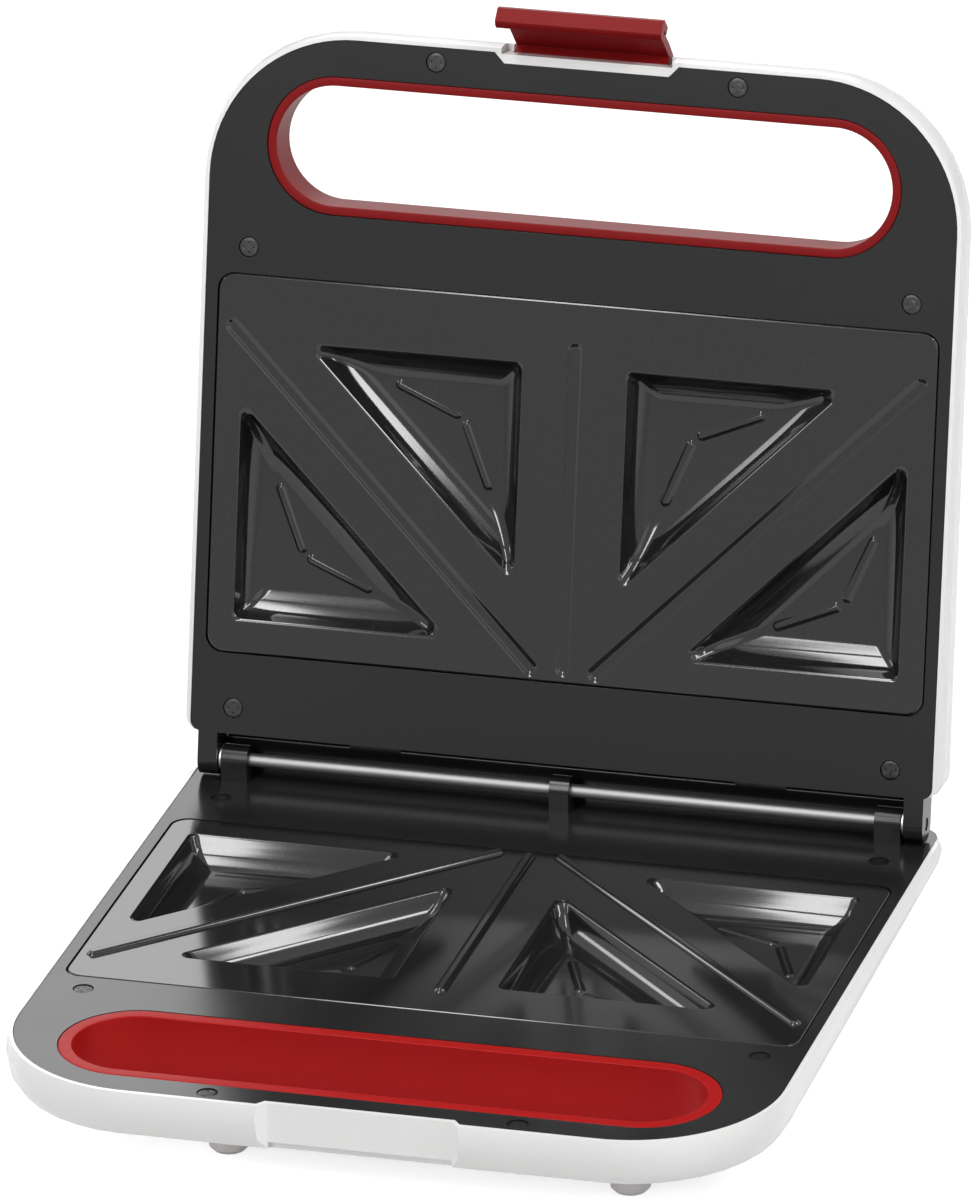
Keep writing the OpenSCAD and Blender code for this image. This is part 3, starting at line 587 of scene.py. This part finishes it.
def stadium(start, towards, length, half_width):
    """Outline of a bar with round ends, from start along a direction."""
    along = Vector(towards).normalized()
    across = Vector((-along.y, along.x))
    near = Vector(start) + along * half_width
    far = Vector(start) + along * (length - half_width)
    points = []
    for centre, sign in ((far, 1), (near, -1)):
        for i in range(BAR_END_STEPS + 1):
            angle = math.pi * i / BAR_END_STEPS - math.pi / 2
            points.append(
                centre
                + sign * half_width * (along * math.cos(angle) + across * math.sin(angle))
            )
    return points


def add_ring(mesh, outline, depth):
    """Adds an outline's points at one depth."""
    return [mesh.verts.new((point.x, point.y, depth)) for point in outline]


def bridge_rings(mesh, rings):
    """Joins rings of equal counts with faces, each to the next."""
    for lower, upper in zip(rings, rings[1:]):
        count = len(lower)
        for i in range(count):
            mesh.faces.new(
                (lower[i], lower[(i + 1) % count], upper[(i + 1) % count], upper[i])
            )


def fill_between(mesh, loops):
    """Fills the flat area inside the first loop and outside the others."""
    edges = []
    for loop in loops:
        for i, vert in enumerate(loop):
            pair = (vert, loop[(i + 1) % len(loop)])
            edges.append(mesh.edges.get(pair) or mesh.edges.new(pair))
    bmesh.ops.triangle_fill(mesh, edges=edges, use_beauty=True)


def pocket_profile():
    """Rounded rim, steep wall and wide fillet: steps of (inset, corner radius, depth)."""
    steps = []
    wall_end = RIM_RADIUS * math.sin(WALL_ANGLE) - POCKET_LIP
    wall_depth = RIM_RADIUS * (1 - math.cos(WALL_ANGLE))
    slope = math.tan(WALL_ANGLE)
    fillet = (slope * (POCKET_RUN - wall_end) - (POCKET_DEPTH - wall_depth)) / (
        slope * math.sin(WALL_ANGLE) - (1 - math.cos(WALL_ANGLE))
    )
    for i in range(RIM_STEPS + 1):
        angle = WALL_ANGLE * i / RIM_STEPS
        inset = RIM_RADIUS * math.sin(angle) - POCKET_LIP
        steps.append((inset, RIM_CORNER, RIM_RADIUS * (1 - math.cos(angle))))
    for i in range(FILLET_STEPS + 1):
        angle = WALL_ANGLE * (1 - i / FILLET_STEPS)
        inset = POCKET_RUN - fillet * math.sin(angle)
        corner = FILLET_CORNER - CORNER_TAPER * i
        steps.append((inset, corner, POCKET_DEPTH - fillet * (1 - math.cos(angle))))
    return steps


def sink_pocket(mesh, corners):
    """Adds one pocket and returns its rim loop."""
    rings = [
        add_ring(mesh, soft_triangle(corners, inset, radius), FACE_DEPTH + depth)
        for inset, radius, depth in pocket_profile()
    ]
    bridge_rings(mesh, rings)
    mesh.faces.new(rings[-1])
    return rings[0]


def raise_bar(mesh, start, towards, length, profile, depth):
    """Adds a rib or groove with round ends; the profile is (half width, depth) steps."""
    rings = []
    widest = profile[0][0]
    along = Vector(towards).normalized()
    for half_width, drop in profile:
        inset = widest - half_width
        begin = Vector(start) + along * inset
        rings.append(
            add_ring(mesh, stadium(begin, along, length - 2 * inset, half_width), depth + drop)
        )
    bridge_rings(mesh, rings)
    mesh.faces.new(rings[-1])
    return rings[0]


def floor_rays(mesh, corners):
    """Adds the two low rounded rays on a pocket's floor."""
    leg = (corners[1] - corners[0]).length
    for k in (1, 2):
        to_right_angle = (corners[0] - corners[k]).normalized()
        to_other = (corners[3 - k] - corners[k]).normalized()
        along = (to_right_angle + to_other).normalized()
        start = corners[k] + along * ((POCKET_RUN + RAY_INSET) / math.sin(SHARP_CORNER / 2))
        raise_bar(mesh, start, along, leg * RAY_SHARE, RAY_PROFILE, FACE_DEPTH + POCKET_DEPTH)


def seam_bars(mesh, height):
    """Adds the ridges (height > 0) or grooves between the pockets; returns their loops."""
    half, front, rear = plate_limits()
    width = RIDGE_HALF if height > 0 else GROOVE_HALF
    profile = [(width * share, -height * rise) for share, rise in SEAM_PROFILE]
    start_v = rear + SEAM_REAR
    diagonal_x = start_v - SEAM_MEET
    run = (half - SEAM_SIDE - diagonal_x) * math.sqrt(2)
    middle_run = front - SEAM_FRONT - start_v
    loops = [raise_bar(mesh, (0, -start_v), (0, -1), middle_run, profile, FACE_DEPTH)]
    for side in (1, -1):
        start = (side * diagonal_x, -start_v)
        loops.append(raise_bar(mesh, start, (side, -1), run, profile, FACE_DEPTH))
    return loops


def plate_back(mesh, side_loop, triangles):
    """Closes the plate's back with the cast cups of its pockets."""
    back = FACE_DEPTH + PLATE_THICK
    loops = [side_loop]
    steps = [(-CUP_WALL, CUP_CORNER, back)]
    for inset, rise in CUP_EDGE:
        steps.append((POCKET_RUN - inset - CUP_WALL, CUP_FLOOR_CORNER, CUP_DEPTH - rise))
    for corners in triangles:
        rings = [
            add_ring(mesh, soft_triangle(corners, inset, radius), depth)
            for inset, radius, depth in steps
        ]
        bridge_rings(mesh, rings)
        mesh.faces.new(rings[-1])
        loops.append(rings[0])
    fill_between(mesh, loops)


def strap_posts(mesh):
    """Adds the two posts behind the plate that carry the heating element's strap."""
    _, front, rear = plate_limits()
    middle = (front + rear - POST_BACK) / 2
    foot = CUP_DEPTH - POST_SUNK
    top = foot + POST_LENGTH
    steps = [
        (POST_RADIUS - POST_CHAMFER, foot),
        (POST_RADIUS, foot + POST_FOOT),
        (POST_RADIUS, top - POST_CHAMFER),
        (POST_RADIUS - POST_CHAMFER, top),
    ]
    turns = [math.tau * i / POST_SIDES for i in range(POST_SIDES)]
    circle = [Vector((math.cos(turn), math.sin(turn))) for turn in turns]
    for x in (-POST_X, POST_X):
        rings = [
            add_ring(mesh, [Vector((x, -middle)) + point * radius for point in circle], depth)
            for radius, depth in steps
        ]
        bridge_rings(mesh, rings)
        mesh.faces.new(rings[0])
        mesh.faces.new(rings[-1])


def cast_plate(name, seam_height, seat):
    """Makes one cast plate in its seat: rims, pockets, rays, seams, edge and back."""
    shape = bmesh.new()
    half, front, rear = plate_limits()
    triangles = pocket_triangles()
    edge = []
    for inset, drop in EDGE_STEPS:
        outline = rounded_rectangle(half - inset, front - inset, rear + inset, PLATE_CORNER)
        edge.append(add_ring(shape, outline, FACE_DEPTH + drop))
    bridge_rings(shape, edge)
    holes = [sink_pocket(shape, corners) for corners in triangles]
    holes += seam_bars(shape, seam_height)
    fill_between(shape, [edge[0], *holes])
    for corners in triangles:
        floor_rays(shape, corners)
    plate_back(shape, edge[-1], triangles)
    strap_posts(shape)
    bmesh.ops.scale(shape, vec=(MM, MM, MM), verts=shape.verts)
    bmesh.ops.transform(shape, matrix=seat, verts=shape.verts)
    bmesh.ops.recalc_face_normals(shape, faces=shape.faces)
    mesh = bpy.data.meshes.new(name)
    shape.to_mesh(mesh)
    shape.free()
    shade_tangent_flats(mesh, (seat.to_3x3() @ Vector((0, 0, 1))).normalized())
    piece = bpy.data.objects.new(name, mesh)
    bpy.context.scene.collection.objects.link(piece)
    return piece


def shade_tangent_flats(mesh, across):
    """Smooth shading in which every flat that lies across a direction stays flat."""
    for polygon in mesh.polygons:
        polygon.use_smooth = True
    normals = [vert.normal.copy() for vert in mesh.vertices]
    for polygon in mesh.polygons:
        facing = polygon.normal.dot(across)
        if abs(facing) > FLAT_COSINE:
            for index in polygon.vertices:
                normals[index] = across * math.copysign(1.0, facing)
    mesh.normals_split_custom_set_from_vertices(normals)


def base_seat():
    """Turns a half's own frame over onto the base."""
    return Matrix.Translation((0, AXIS.y, AXIS.z - AXIS_RISE * MM)) @ Matrix.Scale(
        -1, 4, (0, 0, 1)
    )


def lid_seat():
    """Swings a half's own frame open about the hinge axis."""
    return (
        Matrix.Translation(AXIS)
        @ Matrix.Rotation(-OPEN_ANGLE, 4, "X")
        @ Matrix.Translation((0, 0, -AXIS_RISE * MM))
    )


# ------------------------------------------------------------------ settings


class ToasterLooks(bpy.types.PropertyGroup):
    """Colours of the toaster's main finishes."""

    shell_colour: FloatVectorProperty(
        name="Shell", description="Colour of the two moulded shells", subtype="COLOR",
        default=(0.8, 0.8, 0.795), min=0.0, max=1.0,
    )
    frame_colour: FloatVectorProperty(
        name="Frames", description="Colour of the two frames round the plates", subtype="COLOR",
        default=(0.012, 0.0118, 0.0118), min=0.0, max=1.0,
    )
    plate_colour: FloatVectorProperty(
        name="Plates", description="Colour of the plates' non-stick coating", subtype="COLOR",
        default=(0.009, 0.0088, 0.0088), min=0.0, max=1.0,
    )
    red_colour: FloatVectorProperty(
        name="Base's red", description="Colour of the liner in the base's slot", subtype="COLOR",
        default=(0.37, 0.006, 0.006), min=0.0, max=1.0,
    )
    # The lid's liner and the latch are the same red plastic as the base's liner; this darker colour is painted
    # shade on them
    painted_shade_red_colour: FloatVectorProperty(
        name="Lid's red, painted shade", description="Colour of the lid's slot liner and of the latch",
        subtype="COLOR", default=(0.19, 0.004, 0.005), min=0.0, max=1.0,
    )


class ToasterStage(bpy.types.PropertyGroup):
    """Camera, floor and lamps."""

    camera_place: FloatVectorProperty(
        name="Camera", description="Where the camera stands", subtype="XYZ", unit="LENGTH",
        default=(1.1083, -3.8519, 1.8692),
    )
    camera_azimuth: FloatProperty(
        name="Azimuth", description="How far the camera stands round to the right",
        subtype="ANGLE", default=math.radians(16.04),
    )
    camera_elevation: FloatProperty(
        name="Elevation", description="How far above the horizon the camera stands",
        subtype="ANGLE", default=math.radians(23.19),
    )
    camera_roll: FloatProperty(
        name="Roll", description="Turn of the camera about its own line of sight",
        subtype="ANGLE", default=math.radians(-1.17),
    )
    key_light: FloatProperty(
        name="Right lamps", description="Brightness of the two strips at the right",
        default=17.0, min=0.0,
    )
    top_light: FloatProperty(
        name="Upper lamps", description="Brightness of the strips above and in front",
        default=18.0, min=0.0,
    )
    side_light: FloatProperty(
        name="Left lamp", description="Brightness of the strip at the left",
        default=7.0, min=0.0,
    )
    rear_light: FloatProperty(
        name="Rear lamp", description="Brightness of the softbox at the left rear",
        default=2.3, min=0.0,
    )
    front_light: FloatProperty(
        name="Front lamp", description="Brightness of the softbox in front",
        default=1.0, min=0.0,
    )
    sky_level: FloatProperty(
        name="Room light", description="Even light from all round on the object",
        default=0.04, min=0.0,
    )
    floor_glow: FloatProperty(
        name="Floor glow", description="How much the floor's seen colour is lifted to white",
        default=0.72, min=0.0,
    )
    floor_half: FloatProperty(
        name="Floor", description="Half width of the floor", subtype="DISTANCE",
        default=3.0, min=0.5,
    )


# ------------------------------------------------------------------ operators


class TOASTER_OT_finish_nodes(bpy.types.Operator):
    """Give every node of the part its material and soften its edges"""

    bl_idname = "toaster.finish_nodes"
    bl_label = "Finish nodes"

    def execute(self, context):
        build_shared_groups()
        materials = build_materials(context.scene.toaster_looks)
        for entry in frame["record"]["subparts"]:
            piece = frame["nodes"][entry["node"]]
            piece.data.materials.clear()
            # The lid's red parts take the darker red, which is painted shade on the same plastic
            look = NODE_LOOKS.get(entry["node"], entry["material_slot"])
            piece.data.materials.append(materials[look])
            soften(piece, NODE_EDGES.get(entry["node"], PLAIN_EDGE))
        return {"FINISHED"}


class TOASTER_OT_cast_plates(bpy.types.Operator):
    """Make the two cast plates with soft pocket rims, wide fillets and rounded seams"""

    bl_idname = "toaster.cast_plates"
    bl_label = "Cast plates"

    def execute(self, context):
        for node, body, height, seat in (
            ("lower_plate", "base", RIDGE_HEIGHT, base_seat()),
            ("upper_plate", "lid", GROOVE_HEIGHT, lid_seat()),
        ):
            piece = cast_plate(node + "_casting", height, seat)
            piece.data.materials.append(bpy.data.materials["Non-stick plate coating"])
            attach(piece, body)
            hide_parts(node)
        return {"FINISHED"}


class TOASTER_OT_stage(bpy.types.Operator):
    """Make the floor, the soft lamps, the room light and the camera"""

    bl_idname = "toaster.stage"
    bl_label = "Make stage"

    def execute(self, context):
        stage = context.scene.toaster_stage
        make_floor(stage)
        make_room(context.scene, stage)
        make_lamps(stage)
        make_camera(context.scene, stage)
        context.scene.view_settings.view_transform = "Standard"
        return {"FINISHED"}


FLOOR_COLOUR = (0.6, 0.6, 0.6, 1)
WHITE = (1, 1, 1, 1)
LAMP_DISTANCE = 1.7
LAMP_TARGET = Vector((0.0, 0.0, 0.1))


def make_floor(stage):
    """A matt floor that shades the part's light softly but is seen as nearly white."""
    half = stage.floor_half
    mesh = bpy.data.meshes.new("floor")
    mesh.from_pydata(
        [(-half, -half, 0), (half, -half, 0), (half, half, 0), (-half, half, 0)], [], [(0, 1, 2, 3)]
    )
    floor = bpy.data.objects.new("floor", mesh)
    bpy.context.scene.collection.objects.link(floor)
    material = bpy.data.materials.new("Pale floor")
    material.use_nodes = True
    tree = material.node_tree
    surface = tree.nodes["Principled BSDF"]
    surface.inputs["Base Color"].default_value = FLOOR_COLOUR
    surface.inputs["Roughness"].default_value = 0.9
    surface.inputs["Specular IOR Level"].default_value = 0.0
    glow = add(tree, "ShaderNodeEmission", {"Color": WHITE, "Strength": stage.floor_glow})
    both = add(tree, "ShaderNodeAddShader", {0: surface.outputs[0], 1: glow.outputs[0]})
    values = {0: seen_directly(tree), 1: surface.outputs[0], 2: both.outputs[0]}
    mixed = add(tree, "ShaderNodeMixShader", values)
    connect(tree, tree.nodes["Material Output"], {"Surface": mixed.outputs[0]})
    mesh.materials.append(material)


def make_room(scene, stage):
    """A white room that is seen but gives the part only a little even light."""
    world = bpy.data.worlds.new("Soft room")
    scene.world = world
    world.use_nodes = True
    tree = world.node_tree
    tree.nodes.clear()
    lit = add(tree, "ShaderNodeBackground", {"Color": WHITE, "Strength": stage.sky_level})
    seen = add(tree, "ShaderNodeBackground", {"Color": WHITE, "Strength": 1.0})
    values = {0: seen_directly(tree), 1: lit.outputs[0], 2: seen.outputs[0]}
    mixed = add(tree, "ShaderNodeMixShader", values)
    add(tree, "ShaderNodeOutputWorld", {"Surface": mixed.outputs[0]})


def softbox(name, towards, along, size, brightness):
    """An area lamp that stands in a direction from the object, with its long side along another."""
    lamp = bpy.data.lights.new(name, "AREA")
    lamp.shape = "RECTANGLE"
    lamp.size, lamp.size_y = size
    lamp.energy = brightness * math.pi * size[0] * size[1]
    holder = bpy.data.objects.new(name, lamp)
    back = Vector(towards).normalized()
    up = back.cross(Vector(along)).normalized()
    facing = Matrix((up.cross(back), up, back)).transposed().to_4x4()
    holder.matrix_world = Matrix.Translation(LAMP_TARGET + back * LAMP_DISTANCE) @ facing
    holder.visible_camera = False
    bpy.context.scene.collection.objects.link(holder)


def make_lamps(stage):
    """Adds the lamps: name, direction from the object, long side, size and brightness."""
    lamps = [
        ("Right strip", (0.62, -0.2, 0.75), (0.23, 0.64, 0.1), (1.1, 0.2), stage.key_light),
        ("Low right strip", (0.85, -0.2, 0.48), (0.2, -0.2, -0.5), (0.8, 0.16), stage.key_light),
        ("Overhead strip", (-0.25, -0.16, 0.95), (0, 1, 0), (1.2, 0.15), stage.top_light),
        ("Upper front strip", (-0.25, -0.79, 0.55), (0, -0.5, -0.8), (1.1, 0.17), stage.top_light),
        ("Left strip", (-0.86, 0, 0.44), (-0.2, 0.93, 0), (1.3, 0.22), stage.side_light),
        ("Rear left softbox", (-0.28, 0.86, 0.42), (1, 0, 0), (0.9, 0.6), stage.rear_light),
        ("Front softbox", (0.35, -0.85, 0.35), (1, 0, 0), (0.9, 0.9), stage.front_light),
    ]
    for name, towards, along, size, brightness in lamps:
        softbox(name, towards, along, size, brightness)


def make_camera(scene, stage):
    """The photograph's camera, from the perspective fit."""
    camera = bpy.data.cameras.new("Photo camera")
    camera.sensor_width = SENSOR_MM
    camera.lens = CAMERA_FOCAL_PX / PHOTO_LONG_SIDE_PX * SENSOR_MM
    camera.clip_start, camera.clip_end = CAMERA_RANGE
    holder = bpy.data.objects.new("Photo camera", camera)
    az, el, roll = stage.camera_azimuth, stage.camera_elevation, stage.camera_roll
    right = Vector((math.cos(az), math.sin(az), 0.0))
    back = Vector((math.sin(az) * math.cos(el), -math.cos(az) * math.cos(el), math.sin(el)))
    up = back.cross(right)
    turned_right = right * math.cos(roll) + up * math.sin(roll)
    turned_up = up * math.cos(roll) - right * math.sin(roll)
    facing = Matrix((turned_right, turned_up, back)).transposed().to_4x4()
    holder.matrix_world = Matrix.Translation(stage.camera_place) @ facing
    scene.collection.objects.link(holder)
    scene.camera = holder


# ------------------------------------------------------------------ panel


class TOASTER_PT_panel(bpy.types.Panel):
    """Lists the toaster's steps and settings"""

    bl_idname = "TOASTER_PT_panel"
    bl_label = "Sandwich toaster"
    bl_space_type = "VIEW_3D"
    bl_region_type = "UI"
    bl_category = "Toaster"

    def draw(self, context):
        layout = self.layout
        for step in STEPS:
            layout.operator(step.bl_idname)
        for settings in (context.scene.toaster_looks, context.scene.toaster_stage):
            box = layout.box()
            for name in settings.__annotations__:
                box.prop(settings, name)


STEPS = [TOASTER_OT_stage, TOASTER_OT_finish_nodes, TOASTER_OT_cast_plates]
CLASSES = [ToasterLooks, ToasterStage, *STEPS, TOASTER_PT_panel]


def register():
    """Adds the toaster's settings, steps and panel to Blender."""
    for entry in CLASSES:
        bpy.utils.register_class(entry)
    bpy.types.Scene.toaster_looks = PointerProperty(type=ToasterLooks)
    bpy.types.Scene.toaster_stage = PointerProperty(type=ToasterStage)


def unregister():
    """Takes them out again."""
    del bpy.types.Scene.toaster_stage
    del bpy.types.Scene.toaster_looks
    for entry in reversed(CLASSES):
        bpy.utils.unregister_class(entry)


def main():
    """Runs the steps."""
    register()
    bpy.ops.toaster.stage()
    bpy.ops.toaster.finish_nodes()
    bpy.ops.toaster.cast_plates()


if __name__ == "__main__":
    main()
